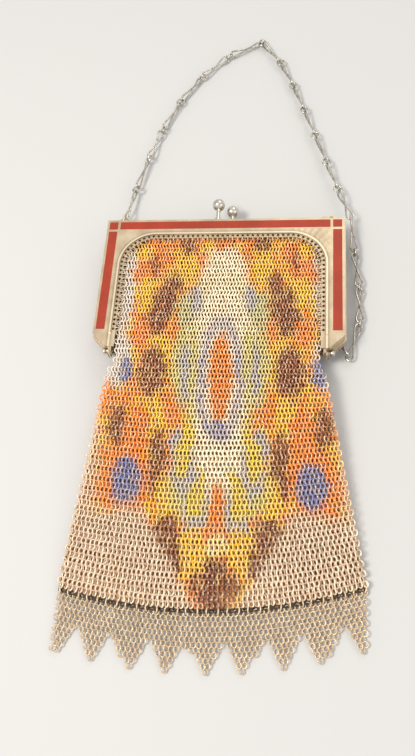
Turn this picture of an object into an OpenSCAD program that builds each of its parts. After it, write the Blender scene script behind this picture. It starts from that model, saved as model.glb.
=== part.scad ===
// Ring-mesh bag lying on its back: a hinged enamelled frame, mesh panels, a pointed fringe and a link chain.
// X runs across the bag, Y towards the chain, Z up out of the surface that it lies on.
// The origin is on the flat back of the frame's top bar, in the plain strip below its enamel.

/* [Frame] */
// Width across the front half of the frame
frame_w = 114; // [100:1:130]
// Height of the straight outer side of the frame
frame_side = 61.4; // [52:0.2:72]
// Width of the top bar and of the legs
bar_w = 10.6; // [9.8:0.1:12]
// Depth of each half of the frame
half_depth = 4.5; // [4.3:0.1:5.5]
// Thickness of the stamped sheet
sheet = 0.9; // [0.75:0.05:1]
// Radius of the window's upper corners
window_r = 14.5; // [10:0.5:20]
// How far the leg ends taper in
leg_taper = 6.5; // [5.5:0.1:7]
// How far the back half stands out past the front half
back_rim = 0.8; // [0.4:0.1:1.2]
// Gap between the rims of the two halves when shut
shut_gap = 0.1; // [0.05:0.05:0.3]

/* [Enamel] */
// Metal border outside the enamel
border = 1.1; // [0.8:0.1:1.6]
// Width of the enamel bands
enamel_w = 4.2; // [3:0.1:4.6]
// Thickness of the enamel
enamel_t = 0.45; // [0.3:0.05:0.5]
// Metal strip between two enamel fields
divider = 1.2; // [0.8:0.1:2]
// Plain metal below the enamel of the legs
enamel_stop = 2; // [1:0.5:5]

/* [Mesh edge of the frame] */
// Width of the raised bead round the window
bead_w = 1.1; // [0.7:0.1:1.3]
// Height of the bead
bead_h = 0.4; // [0.2:0.05:0.6]
// Distance from the window's edge to the bead
bead_in = 2.1; // [1.9:0.1:2.3]
// Diameter of the holes that take the mesh
hole_d = 1.3; // [0.8:0.1:1.4]
// Distance from hole to hole
hole_pitch = 2.4; // [2.2:0.1:4]
// Distance from the window's edge to the holes
hole_in = 1.1; // [1:0.05:1.2]

/* [Hinges] */
// Diameter of the hinge pins
pin_d = 1.6; // [1.2:0.1:1.8]
// Radial play of a pin in its ears
pin_play = 0.04; // [0.02:0.01:0.08]
// Radius of the ears' round ends
ear_r = 1.5; // [1.4:0.1:1.8]
// Thickness of an ear
ear_t = 1.2; // [0.9:0.1:1.4]
// Gap between two ears
ear_gap = 0.2; // [0.15:0.05:0.4]
// Diameter of the ball heads of the pins
head_d = 2.8; // [2.2:0.1:3]
// How far the pins lie below the leg ends
hinge_drop = 0.6; // [0.3:0.1:1]

/* [Clasp] */
// Diameter of the clasp balls
ball_d = 6; // [4:0.1:6]
// Distance between the two balls across the bag
ball_spread = 6.5; // [6.4:0.1:9]
// From the frame's top edge to the front ball's centre
front_reach = 9.6; // [8:0.1:12]
// From the frame's top edge to the back ball's centre
back_reach = 8.8; // [8:0.1:12]
// Diameter of the stems
stem_d = 2; // [1.4:0.1:2.4]
// Diameter of the collars
collar_d = 3.4; // [2.6:0.1:3.8]
// Thickness of the collars
collar_t = 1.3; // [0.8:0.1:2]

/* [Chain] */
// Wire of the links and end rings
wire = 0.9; // [0.7:0.05:1]
// Width of a link over its wire
link_w = 4; // [3.8:0.1:4.4]
// How far two links reach into each other, between the middles of their wires
link_bite = 2; // [1.9:0.05:2.1]
// Height of the arch over the frame's top edge
arch_rise = 126; // [120:1:132]
// Mean diameter of the end rings
ring_d = 5.6; // [5.5:0.05:5.7]
// Distance of the lugs from the frame's sides
lug_in = 6; // [5:0.2:7]
// Thickness of a lug
lug_t = 0.7; // [0.6:0.1:0.9]
// Radius of the hole in a lug
lug_hole_r = 1.6; // [1.55:0.05:1.7]
// Metal round the hole of a lug
lug_wall = 0.6; // [0.5:0.1:0.7]

/* [Mesh] */
// Thickness of one layer of ring mesh
mesh_t = 1; // [0.8:0.05:1.1]
// Height of the ridges between the rows of rings
ridge_h = 0.3; // [0.1:0.05:0.4]
// Distance from row to row
row_pitch = 2.3; // [2:0.1:3.5]
// Gap between the mesh and the frame's sheet
mesh_clear = 0.25; // [0.2:0.05:0.35]
// How far the mesh reaches under the frame's edge
mesh_tuck = 0.8; // [0.3:0.1:0.9]
// Width of the bag just below the hinges
bag_top_w = 98; // [94:1:104]
// Width of the bag at its bottom seam
bag_bottom_w = 127; // [110:1:140]
// Length of the mesh below the hinges
bag_len = 110; // [90:1:130]
// How far the bottom of the bag lies to one side
bag_lean = 2.6; // [0:0.2:5]
// Rise of the bottom seam from left to right for each mm
seam_slope = 0.042; // [0:0.002:0.06]
// How far the middle of the bottom seam hangs below its ends
seam_sag = 9; // [4:0.5:12]
// Width of the rows of joining rings
seam_w = 1.6; // [1.2:0.1:2.4]
// Clearance between the mesh pieces
seam_clear = 0.05; // [0.02:0.01:0.1]
// Gaps along the bottom row of joining rings
seam_gaps = 30; // [10:1:40]
// Rows of openings in a panel
gap_rows = 10; // [6:1:10]
// Openings in each of those rows
gap_columns = 12; // [6:1:12]
// Width of an opening in the front panel
front_gap_w = 4.4; // [1:0.1:5]
// Height of an opening in the front panel
front_gap_h = 12; // [1:0.5:13]
// Length over which the bag widens below its waist
flare_len = 6; // [4:0.5:10]
// Distance over which the back panel drops from the frame to the floor
back_drop = 24; // [18:1:30]
// Size across its corners of a gap in the back panel and the fringe
gap_d = 1.6; // [1:0.1:2.2]

/* [Fringe] */
// Points of the fringe
fringe_points = 9; // [7:1:11]
// Depth of the fringe from the seam to the notches
fringe_band = 14; // [10:0.5:18]
// Length of the points below the notches
point_len = 10.5; // [6:0.5:14]

/* [Hidden] */
link_count = 22;
link_names = [for (k = [1:link_count]) str("chain_link_", k < 10 ? "0" : "", k)];
$fn = 48;
eps = 0.01;

// Frame places
top_y = border + enamel_w + (bar_w - border - enamel_w - bead_in - bead_w) / 2;
corner_y = top_y - frame_side;
tip_y = corner_y - leg_taper;
window_x = frame_w / 2 - bar_w;
window_top = top_y - bar_w;
face_z = 2 * half_depth;

// Hinge places: the front ear is the inner one
hinge_y = tip_y - hinge_drop;
hinge_z = half_depth;
front_ear_x = window_x + mesh_tuck + 2 * ear_gap;
back_ear_x = front_ear_x + ear_t + ear_gap;
ear_foot = 2 * ear_r;
head_x = back_ear_x + ear_t + head_d / 2;
head_room = 0.4;
pin_end = 0.15;

// Heights: the frame lies over the run of chain under its right leg, whose tallest eyes stand on edge
eye_r = (link_w - wire) / 2;
chain_clear = 0.55;
floor_z = -link_w - chain_clear;
chain_z = floor_z + link_w / 2;

// Lugs and end rings: each ring stands in its lug's hole
lug_x = frame_w / 2 - lug_in;
lug_z = 3;
lug_y = top_y + back_rim + lug_hole_r + 0.5;
ring_r = ring_d / 2;
ring_z = 1.1;
ring_out = sqrt(ring_r * ring_r - (lug_z - ring_z) * (lug_z - ring_z));
ring_y = lug_y + ring_out;
right_ring_turn = 75;
right_ring_x = lug_x - ring_out * sin(right_ring_turn);
right_ring_y = lug_y + ring_out * cos(right_ring_turn);

// Mesh heights and outline
front_low = face_z - sheet - mesh_clear - mesh_t;
back_low = sheet + mesh_clear;
seam_low = floor_z + mesh_t + seam_clear;
seam_mid_y = hinge_y - bag_len;
waist_y = hinge_y - leg_taper;
flare_y = waist_y - flare_len;

function smooth(u) = let (t = min(max(u, 0), 1)) t * t * (3 - 2 * t);
function mix(a, b, t) = a + (b - a) * t;
function bag_part(y) = min(max((flare_y - y) / (flare_y - seam_mid_y), 0), 1);
function bag_half(y) = y < flare_y ? mix(bag_top_w, bag_bottom_w, bag_part(y)) / 2
    : mix(bag_top_w / 2, window_x - 0.4, smooth((y - flare_y) / (waist_y - flare_y)));
function bag_mid(y) = bag_lean * bag_part(y);
function seam_y(x) = seam_mid_y + seam_slope * x + seam_sag * pow(2 * x / bag_bottom_w, 2);
function front_z(y) = mix(front_low, seam_low, smooth((hinge_y - y) / bag_len) * 0.6 + 0.4 * bag_fall(y));
function bag_fall(y) = min(max((hinge_y - y) / bag_len, 0), 1);
function back_z(y) = mix(back_low, floor_z, smooth((hinge_y - y) / back_drop));

// Frame plans
module outer_plan(inset, drop = 0) {
    side = frame_w / 2 - inset;
    slant = corner_y + inset * (sqrt(2) - 1);
    tip = tip_y - drop;
    run = side - (slant - tip);
    polygon([
        [-side, top_y - inset], [side, top_y - inset], [side, slant],
        [run, tip], [-run, tip], [-side, slant]
    ]);
}

// The window with its edge moved out by grow, open at the bottom
module window_plan(grow, low = tip_y - 1) {
    half = window_x + grow;
    r = window_r + grow;
    high = window_top + grow;
    translate([-half, low])
        square([2 * half, high - r - low]);
    translate([-half + r, low])
        square([2 * (half - r), high - low]);
    for (side = [-1, 1])
        translate([side * (half - r), high - r])
            circle(r);
}

module enamel_plan() {
    outer = frame_w / 2 - border;
    inner = outer - enamel_w;
    band_y = top_y - border - enamel_w;
    translate([-inner + divider, band_y])
        square([2 * (inner - divider), enamel_w]);
    for (side = [0, 1])
        mirror([side, 0]) {
            translate([inner, band_y])
                square(enamel_w);
            translate([inner, corner_y + enamel_stop])
                square([enamel_w, band_y - divider - corner_y - enamel_stop]);
        }
}

// Holes along the window: up one leg, round both corners and down the other
hole_r = window_r + hole_in;
hole_leg = window_top - window_r - (corner_y + 1);
hole_arc = PI * hole_r / 2;
hole_top = 2 * (window_x - window_r);
hole_run = 2 * hole_leg + 2 * hole_arc + hole_top;
hole_count = floor(hole_run / hole_pitch);

function hole_place(s) =
    let (far = window_x + hole_in, cy = window_top - window_r, cx = window_x - window_r)
    s < hole_leg ? [-far, corner_y + 1 + s]
    : s < hole_leg + hole_arc ?
        let (a = 180 - (s - hole_leg) / hole_arc * 90) [-cx + hole_r * cos(a), cy + hole_r * sin(a)]
    : s < hole_leg + hole_arc + hole_top ? [-cx + s - hole_leg - hole_arc, window_top + hole_in]
    : s < hole_leg + 2 * hole_arc + hole_top ?
        let (a = 90 - (s - hole_leg - hole_arc - hole_top) / hole_arc * 90)
        [cx + hole_r * cos(a), cy + hole_r * sin(a)]
    : [far, cy - (s - hole_leg - 2 * hole_arc - hole_top)];

module mesh_holes() {
    for (k = [0:hole_count])
        translate(hole_place((k + 0.5) * hole_run / (hole_count + 1)))
            circle(d = hole_d, $fn = 16);
}

// An ear that carries a hinge pin, on both legs, for a half that lies face down
module ears(x) {
    for (side = [0, 1])
        mirror([side, 0, 0])
            translate([x, 0, 0])
                rotate([90, 0, 90])
                    linear_extrude(ear_t) {
                        translate([hinge_y, hinge_z])
                            circle(ear_r);
                        translate([hinge_y - ear_r, sheet / 2])
                            square([ear_foot + ear_r, hinge_z - sheet / 2]);
                    }
}

// One half of the frame, face down, with its walls standing up to wall_h
module half_frame(rim, wall_h, ear_x) {
    difference() {
        union() {
            linear_extrude(sheet)
                difference() {
                    outer_plan(-rim);
                    window_plan(0, tip_y - 2);
                    mesh_holes();
                }
            difference() {
                linear_extrude(wall_h)
                    difference() {
                        outer_plan(-rim);
                        outer_plan(sheet - rim, 2 * leg_taper);
                    }
                translate([-frame_w, hinge_y, hinge_z])
                    rotate([0, 90, 0])
                        cylinder(h = 2 * frame_w, r = max(head_d / 2, ear_r) + head_room);
            }
            translate([0, 0, -bead_h])
                linear_extrude(bead_h + eps)
                    difference() {
                        window_plan(bead_in + bead_w, corner_y);
                        window_plan(bead_in, corner_y - 1);
                    }
            ears(ear_x);
        }
        translate([0, 0, -eps])
            linear_extrude(enamel_t + eps)
                enamel_plan();
        translate([-frame_w, hinge_y, hinge_z])
            rotate([0, 90, 0])
                cylinder(h = 2 * frame_w, d = pin_d + 2 * pin_play);
    }
}

module turned_over() {
    translate([0, 0, face_z])
        mirror([0, 0, 1])
            children();
}

module back_frame() {
    color("lightgray")
        half_frame(back_rim, half_depth, back_ear_x);
}

module front_frame() {
    color("silver")
        turned_over()
            half_frame(0, half_depth - shut_gap, front_ear_x);
}

module back_enamel() {
    color([0.74, 0.29, 0.2])
        linear_extrude(enamel_t)
            enamel_plan();
}

module front_enamel() {
    color([0.74, 0.29, 0.2])
        turned_over()
            linear_extrude(enamel_t)
                enamel_plan();
}

module hinge_pin() {
    translate([front_ear_x - pin_end, hinge_y, hinge_z])
        rotate([0, 90, 0])
            cylinder(h = head_x - front_ear_x + pin_end, d = pin_d);
    translate([head_x, hinge_y, hinge_z])
        sphere(d = head_d);
}

module right_hinge_pin() {
    color("gainsboro")
        hinge_pin();
}

module left_hinge_pin() {
    color("gainsboro")
        mirror([1, 0, 0])
            hinge_pin();
}

// A clasp ball on its stem and collar, pointing away from the frame's top edge
module knob(reach) {
    rotate([-90, 0, 0]) {
        cylinder(h = collar_t, d = collar_d);
        cylinder(h = reach, d = stem_d);
        translate([0, 0, reach])
            sphere(d = ball_d);
    }
}

module front_knob() {
    color("whitesmoke")
        translate([-ball_spread / 2, top_y, face_z - half_depth / 2])
            knob(front_reach);
}

module back_knob() {
    color("whitesmoke")
        translate([ball_spread / 2, top_y + back_rim, half_depth / 2])
            knob(back_reach - back_rim);
}

module lug() {
    translate([0, 0, lug_z - lug_t / 2])
        linear_extrude(lug_t)
            difference() {
                union() {
                    translate([-lug_hole_r - lug_wall, top_y + back_rim])
                        square([2 * (lug_hole_r + lug_wall), lug_y - top_y - back_rim]);
                    translate([0, lug_y])
                        circle(lug_hole_r + lug_wall);
                }
                translate([0, lug_y])
                    circle(lug_hole_r);
                translate([-lug_hole_r - lug_wall, top_y + back_rim - lug_wall])
                    square([2 * (lug_hole_r + lug_wall), lug_wall]);
            }
}

module left_lug() {
    color("lightgray")
        translate([-lug_x, 0, 0])
            lug();
}

module right_lug() {
    color("lightgray")
        translate([lug_x, 0, 0])
            lug();
}

module end_ring() {
    rotate_extrude()
        translate([ring_r, 0])
            circle(d = wire, $fn = 24);
}

module left_end_ring() {
    color("silver")
        translate([-lug_x, ring_y, ring_z])
            rotate([0, 90, 0])
                end_ring();
}

module right_end_ring() {
    color("silver")
        translate([right_ring_x, right_ring_y, ring_z])
            rotate([0, 90, right_ring_turn])
                end_ring();
}

// Chain route: four curves, each through four control points, with a joint wherever two of them meet
function bend(p, t) =
    let (u = 1 - t) u * u * u * p[0] + 3 * u * u * t * p[1] + 3 * u * t * t * p[2] + t * t * t * p[3];
function unit(v) = v / norm(v);

// The arch starts inside the left end ring, has a sharp crown, and ends at the pivot beside the right corner
hook_angle = 25;
arch_lean = 5.5;
slack_out = 13;
slack_low = 47;
under_in = 8;
under_low = 36;
hook_in = 0.75 * link_bite;
grip = [-lug_x, ring_y + ring_r * cos(hook_angle), ring_z - ring_r * sin(hook_angle)];
first_bend = [arch_lean - lug_x, top_y + 0.33 * arch_rise, chain_z];
hook = grip - hook_in * unit(first_bend - grip);
crown = [13, top_y + arch_rise, chain_z];
crown_slip = [0.1, -link_bite / 2, 0];
pivot = [frame_w / 2 + back_rim + 2.6, ring_y, ring_z];
left_rise = [hook, first_bend, [-34, top_y + 0.88 * arch_rise, chain_z], crown];
right_bend = [43, top_y + 0.44 * arch_rise, chain_z];
pivot_short = 0.325 * link_bite;
right_fall = [
    crown + crown_slip, [27, top_y + 0.93 * arch_rise, chain_z],
    right_bend, pivot - pivot_short * unit(pivot - right_bend)
];

// The slack runs down beside the right leg, turns, and runs back under it to the right end ring
side_bend = [pivot[0] + 0.9, top_y - 18, chain_z];
pivot_slip = 0.225 * link_bite * unit(pivot - side_bend) - [0, 0, 0.075 * link_bite];
turn_point = [frame_w / 2 + 2.2, tip_y + 0.2, chain_z];
turn_slip = [-0.2 * link_bite, 0.85 * link_bite, 0];
slack_end = [right_ring_x, right_ring_y + eye_r - link_bite / 2, ring_z - ring_r];
under_dip = 0.8;
slack_fall = [
    pivot + pivot_slip, side_bend,
    [frame_w / 2 + slack_out, top_y - slack_low, chain_z], turn_point
];
slack_rise = [
    turn_point + turn_slip, [frame_w / 2 - 14, corner_y + 10, chain_z],
    [frame_w / 2 - under_in, corner_y + under_low, chain_z - under_dip], slack_end
];

steps = 40;
function route(p) = [for (k = [0:steps]) bend(p, k / steps)];
function run_length(p, k = 0, s = 0) =
    k == len(p) - 1 ? [s] : concat([s], run_length(p, k + 1, s + norm(p[k + 1] - p[k])));
function along(p, s, d) = [for (c = [0:2]) lookup(d, [for (k = [0:len(p) - 1]) [s[k], p[k][c]]])];

// Joints from end to end of one curve, as pairs with the spacing of that curve's links
function links_of(p, n) =
    let (s = run_length(p), total = s[len(s) - 1])
    [for (k = [0:n - 1]) [along(p, s, total * k / n), along(p, s, total * (k + 1) / n), total / n]];
links = concat(
    links_of(route(left_rise), 7), links_of(route(right_fall), 7),
    links_of(route(slack_fall), 4), links_of(route(slack_rise), 4)
);

// How far each link has rolled about its length: on the arch one eye lies flat and one stands on edge
link_rolls = [
    30, 5, -20, -40, -45, -45, -45, -45, -45, -45, -45, -45, -45, -45, -40, -30, -15, -32, 122, 104, 80, 55
];

// A link is a wire bent into two round eyes a quarter turn apart, its two strands twisted between them
link_turns = 36;
wire_sides = 6;
strand_gap = 0.1;
neck = 2 * eye_r;
twist_start = 53;
function eye_out(d) = d < eye_r ? sqrt(max(0, eye_r * eye_r - (d - eye_r) * (d - eye_r)))
    : mix(eye_r, (wire + strand_gap) / 2, smooth((d - eye_r) / neck));
function strand_turn(t) = 45 - 270 * min(max((t - twist_start) / (180 - 2 * twist_start), 0), 1);
function link_turn(k, roll) = let (t = 360 * k / link_turns) roll + strand_turn(t > 180 ? 360 - t : t);
function link_path(half, roll) = [
    for (k = [0:link_turns - 1])
        let (
            x = half * cos(360 * k / link_turns),
            r = eye_out(half - abs(x)) * (k > link_turns / 2 ? -1 : 1),
            a = link_turn(k, roll)
        )
        [x, r * cos(a), r * sin(a)]
];
function link_ups(roll) =
    [for (k = [0:link_turns - 1]) let (a = link_turn(k, roll)) [0, -sin(a), cos(a)]];

// A closed tube along a loop of points, with the direction that each ring of corners faces
module loop_tube(points, ups) {
    n = len(points);
    rings = [
        for (k = [0:n - 1])
            let (
                t = unit(points[(k + 1) % n] - points[(k + n - 1) % n]),
                side = unit(cross(ups[k], t)),
                up = cross(t, side)
            )
            for (m = [0:wire_sides - 1])
                points[k] + wire / 2 * (cos(360 * m / wire_sides) * side + sin(360 * m / wire_sides) * up)
    ];
    faces = [
        for (k = [0:n - 1], m = [0:wire_sides - 1])
            let (
                a = k * wire_sides + m,
                b = k * wire_sides + (m + 1) % wire_sides,
                c = ((k + 1) % n) * wire_sides + (m + 1) % wire_sides,
                d = ((k + 1) % n) * wire_sides + m
            )
            for (f = [[a, b, c], [a, c, d]])
                f
    ];
    polyhedron(rings, faces);
}

module chain_link(k) {
    from = links[k][0];
    to = links[k][1];
    half = (links[k][2] + link_bite) / 2;
    ahead = unit(to - from);
    color("silver")
        translate((from + to) / 2)
            rotate([0, -asin(ahead[2]), atan2(ahead[1], ahead[0])])
                loop_tube(link_path(half, link_rolls[k]), link_ups(link_rolls[k]));
}

// Mesh outline from the window's top to the bottom seam, half side by half side
outline_rows = 28;
function side_y(k) = mix(waist_y, seam_mid_y - 4, k / outline_rows);
module bag_plan(inset = 0) {
    intersection() {
        union() {
            window_plan(mesh_tuck - inset, hinge_y + 2);
            translate([-window_x + 0.4 + inset, waist_y - 1])
                square([2 * (window_x - 0.4 - inset), window_top - window_r - waist_y]);
            polygon(concat(
                [for (k = [0:outline_rows]) let (y = side_y(k)) [bag_mid(y) - bag_half(y) + inset, y]],
                [for (k = [outline_rows:-1:0]) let (y = side_y(k)) [bag_mid(y) + bag_half(y) - inset, y]]
            ));
        }
        above_seam(seam_clear);
    }
}

// Everything on the frame's side of the bottom seam
seam_steps = 24;
module above_seam(shift) {
    wide = bag_bottom_w;
    polygon(concat(
        [[wide, top_y], [-wide, top_y]],
        [for (k = [0:seam_steps])
            let (x = mix(-wide / 2 - 4, wide / 2 + 6, k / seam_steps)) [x, seam_y(x) + shift]]
    ));
}

// A wall of mesh: ridged rows on its outer side, drawn as a strip in Y and Z and run across the bag
row_count = ceil((window_top + mesh_tuck - seam_mid_y + seam_sag) / row_pitch) + 2;
function row_y(k) = window_top + mesh_tuck + row_pitch - k * row_pitch;
module wall_strip(points) {
    translate([-bag_bottom_w, 0, 0])
        rotate([90, 0, 90])
            linear_extrude(2 * bag_bottom_w)
                polygon(points);
}

function front_strip() = concat(
    [for (k = [0:row_count]) [row_y(k), front_z(row_y(k))]],
    [for (k = [row_count:-1:1])
        for (h = [0, 0.5]) [row_y(k - h), front_z(row_y(k - h)) + mesh_t - (h == 0 ? ridge_h : 0)]]
);
function back_strip() = concat(
    [for (k = [0:row_count]) [row_y(k), back_z(row_y(k)) + mesh_t]],
    [for (k = [row_count:-1:1])
        for (h = [0, 0.5]) [row_y(k - h), back_z(row_y(k - h)) + (h == 0 ? ridge_h : 0)]]
);

gap_edge = 20;
module panel_gaps(wide, high) {
    first_y = window_top - gap_edge / 2;
    last_y = seam_mid_y + gap_edge;
    for (r = [0:gap_rows - 1], c = [0:gap_columns - 1]) {
        y = mix(first_y, last_y, r / (gap_rows - 1));
        s = (c + 0.5 + 0.25 * (r % 2 == 0 ? 1 : -1)) / gap_columns * 2 - 1;
        translate([bag_mid(y) + 0.92 * s * bag_half(y), y])
            polygon([[-wide / 2, 0], [0, -high / 2], [wide / 2, 0], [0, high / 2]]);
    }
}

module panel_prism(gap_wide, gap_high) {
    translate([0, 0, floor_z - 1])
        linear_extrude(face_z - floor_z + 2)
            difference() {
                bag_plan();
                panel_gaps(gap_wide, gap_high);
            }
}

module front_mesh() {
    color("goldenrod")
        intersection() {
            wall_strip(front_strip());
            panel_prism(front_gap_w, front_gap_h);
        }
}

module back_mesh() {
    color("darkgoldenrod")
        intersection() {
            wall_strip(back_strip());
            panel_prism(gap_d, gap_d);
        }
}

// Joining rings down the sides, between the two panels
side_stop = 12;
module side_seam(side) {
    first = flare_y;
    last = seam_mid_y + seam_sag + side_stop;
    rows = [for (k = [0:outline_rows]) mix(first, last, k / outline_rows)];
    strip = concat(
        [for (y = rows) [y, back_z(y) + mesh_t + seam_clear]],
        [for (k = [outline_rows:-1:0]) [rows[k], front_z(rows[k]) - seam_clear]]
    );
    ribbon = concat(
        [for (y = rows) [bag_mid(y) + side * bag_half(y), y]],
        [for (k = [outline_rows:-1:0]) let (y = rows[k]) [bag_mid(y) + side * (bag_half(y) - seam_w), y]]
    );
    intersection() {
        wall_strip(strip);
        translate([0, 0, floor_z])
            linear_extrude(face_z - floor_z)
                polygon(ribbon);
    }
}

module left_side_seam() {
    color("tan")
        side_seam(-1);
}

module right_side_seam() {
    color("tan")
        side_seam(1);
}

// The row of joining rings that closes the bottom, with gaps between its rings
function seam_left() = bag_mid(seam_mid_y) - bag_bottom_w / 2;
function seam_right() = bag_mid(seam_mid_y) + bag_bottom_w / 2;
function seam_x(t) = mix(seam_left() + 1, seam_right() - 1, t);
module seam_plan() {
    polygon(concat(
        [for (k = [0:seam_steps]) let (x = seam_x(k / seam_steps)) [x, seam_y(x)]],
        [for (k = [seam_steps:-1:0]) let (x = seam_x(k / seam_steps)) [x, seam_y(x) - seam_w]]
    ));
}

module bottom_seam() {
    color("burlywood")
        translate([0, 0, floor_z])
            linear_extrude(2 * mesh_t)
                difference() {
                    seam_plan();
                    for (k = [0:seam_gaps - 1]) {
                        x = seam_x((k + 0.5) / seam_gaps);
                        translate([x, seam_y(x) - seam_w / 2])
                            square([bag_bottom_w / seam_gaps / 2, seam_w / 2], center = true);
                    }
                }
}

// The fringe hangs from the seam and ends in points
function tip_x(k) = mix(seam_left() + 2.5, seam_right() - 2.5, k / (fringe_points - 1));
function fringe_top(x) = seam_y(x) - seam_w - seam_clear;
module fringe_plan() {
    polygon(concat(
        [for (k = [seam_steps:-1:0]) let (x = seam_x(k / seam_steps)) [x, fringe_top(x)]],
        [for (k = [0:fringe_points - 1])
            let (x = tip_x(k), notch = (tip_x(k) + tip_x(min(k + 1, fringe_points - 1))) / 2)
            for (p = k < fringe_points - 1 ?
                [[x, seam_y(x) - fringe_band - point_len], [notch, seam_y(notch) - fringe_band]]
                : [[x, seam_y(x) - fringe_band - point_len]])
                p]
    ));
}

fringe_rows = ceil((fringe_band + point_len + seam_sag + 8) / row_pitch) + 3;
function fringe_y(k) = seam_mid_y + seam_sag + 4 - k * row_pitch;
function fringe_strip() = concat(
    [[fringe_y(0), floor_z], [fringe_y(fringe_rows), floor_z]],
    [for (k = [fringe_rows:-1:1])
        for (h = [0, 0.5]) [fringe_y(k - h), floor_z + mesh_t - (h == 0 ? ridge_h : 0)]]
);

module mesh_fringe() {
    color("wheat")
        intersection() {
            wall_strip(fringe_strip());
            translate([0, 0, floor_z - 1])
                linear_extrude(mesh_t + 2)
                    difference() {
                        fringe_plan();
                        for (k = [0:fringe_points - 1], d = [0.3, 0.7, 1.1])
                            translate([tip_x(k), seam_y(tip_x(k)) - d * fringe_band - seam_w])
                                circle(d = gap_d, $fn = 4);
                    }
        }
}

back_frame();
back_enamel();
front_frame();
front_enamel();
left_hinge_pin();
right_hinge_pin();
front_knob();
back_knob();
left_lug();
right_lug();
left_end_ring();
right_end_ring();
front_mesh();
back_mesh();
left_side_seam();
right_side_seam();
bottom_seam();
mesh_fringe();
for (k = [0:link_count - 1])
    chain_link(k);
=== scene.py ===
# %% [markdown]
# # A ring-mesh evening bag
#
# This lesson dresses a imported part: a bag of metal ring mesh on a hinged, enamelled frame, lying on
# its back. The solids give the frame, the knobs, the hinges and the rings at the chain's ends. The
# thousands of rings of the mesh and the smooth wire of the chain are made here, by two small node
# trees. All lengths are in millimetres until a mesh is made.

# %% Load the frame
import math

import bpy
import numpy as np
from mathutils import Matrix, Vector


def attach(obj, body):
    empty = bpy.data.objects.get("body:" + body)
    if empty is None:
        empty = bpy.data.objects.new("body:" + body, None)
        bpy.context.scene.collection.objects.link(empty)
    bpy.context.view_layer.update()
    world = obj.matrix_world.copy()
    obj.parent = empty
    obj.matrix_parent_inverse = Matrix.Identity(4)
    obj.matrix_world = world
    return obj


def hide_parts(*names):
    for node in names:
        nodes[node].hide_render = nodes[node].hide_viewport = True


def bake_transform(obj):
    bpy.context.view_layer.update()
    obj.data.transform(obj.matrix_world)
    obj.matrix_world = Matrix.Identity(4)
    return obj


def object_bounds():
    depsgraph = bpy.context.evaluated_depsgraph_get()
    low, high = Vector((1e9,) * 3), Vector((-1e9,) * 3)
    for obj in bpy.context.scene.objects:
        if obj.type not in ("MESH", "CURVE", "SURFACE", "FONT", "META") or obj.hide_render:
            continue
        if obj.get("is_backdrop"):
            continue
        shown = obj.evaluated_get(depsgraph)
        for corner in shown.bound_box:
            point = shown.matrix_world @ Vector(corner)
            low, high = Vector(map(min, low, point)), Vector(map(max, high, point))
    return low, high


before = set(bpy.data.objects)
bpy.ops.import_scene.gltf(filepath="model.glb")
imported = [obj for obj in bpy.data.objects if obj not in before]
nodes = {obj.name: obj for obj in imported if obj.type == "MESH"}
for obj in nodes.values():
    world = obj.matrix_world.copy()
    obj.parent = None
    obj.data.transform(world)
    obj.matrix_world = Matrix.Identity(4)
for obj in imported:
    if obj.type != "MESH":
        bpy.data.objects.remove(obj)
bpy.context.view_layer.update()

# %% [markdown]
# ## Sizes of the solids
#
# The mesh hangs in the window of a stamped frame, between its two halves. Its rings could be placed
# by shooting rays at the solids. But the solids were drawn from a short list of sizes, and the same
# list here keeps each ring on its wall without any search.

# %% Sizes of the frame
MM = 0.001
FRAME_W = 114.0
FRAME_SIDE = 61.4
LEG_TAPER = 6.5
HINGE_DROP = 0.6
TOP_Y = 6.35
BAR_W = 10.6
SHEET = 0.9
FACE_Z = 9.0
FLOOR_Z = -4.55
WINDOW_X = FRAME_W / 2 - BAR_W
WINDOW_TOP = TOP_Y - BAR_W
WINDOW_R = 14.5
CORNER_Y = TOP_Y - FRAME_SIDE
TIP_Y = CORNER_Y - LEG_TAPER
HINGE_Y = TIP_Y - HINGE_DROP
print("window is", 2 * WINDOW_X, "mm wide, hinge line at", round(HINGE_Y, 2), "mm")

# %% Sizes of the bag
MESH_T = 1.0
MESH_CLEAR = 0.25
WINDOW_GAP = 0.4
BAG_TOP_W = 98.0
BAG_BOTTOM_W = 127.0
BAG_LEN = 110.0
BAG_LEAN = 2.6
WAIST_DROP = 6.5
FLARE_DROP = 6.0
WAIST_Y = HINGE_Y - WAIST_DROP
FLARE_Y = WAIST_Y - FLARE_DROP
SEAM_SLOPE = 0.042
SEAM_SAG = 9.0
SEAM_MID_Y = HINGE_Y - BAG_LEN
print("bottom seam at", round(SEAM_MID_Y, 2), "mm")


# %% [markdown]
# ## Outline and height of the bag
#
# On the real bag the mesh is narrow at the hinges and widens towards a sagging bottom seam, and its
# two walls close like a wedge. That could be a sculpted surface, but a formula is easier to ask: each
# ring gives its place and gets its wall. `smooth` eases from 0 to 1, and `mix` goes between values.

# %% Outline of the bag
def smooth(t):
    t = np.clip(t, 0, 1)
    return t * t * (3 - 2 * t)


def mix(a, b, t):
    return a + (b - a) * t


def bag_part(y):
    return np.clip((FLARE_Y - y) / (FLARE_Y - SEAM_MID_Y), 0, 1)


def bag_half(y):
    flared = mix(BAG_TOP_W, BAG_BOTTOM_W, bag_part(y)) / 2
    rise = smooth((y - FLARE_Y) / (WAIST_Y - FLARE_Y))
    waist = mix(BAG_TOP_W / 2, WINDOW_X - WINDOW_GAP, rise)
    return np.where(y < FLARE_Y, flared, waist)


def bag_mid(y):
    return BAG_LEAN * bag_part(y)


print("half widths at the waist and the seam:", bag_half(np.array([WAIST_Y, SEAM_MID_Y])))

# %% Seam and walls of the bag
FRONT_LOW = FACE_Z - SHEET - MESH_CLEAR - MESH_T
BACK_LOW = SHEET + MESH_CLEAR
BACK_DROP = 24.0
WALLS_APART = 0.05
EASED_SHARE = 0.6


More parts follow.
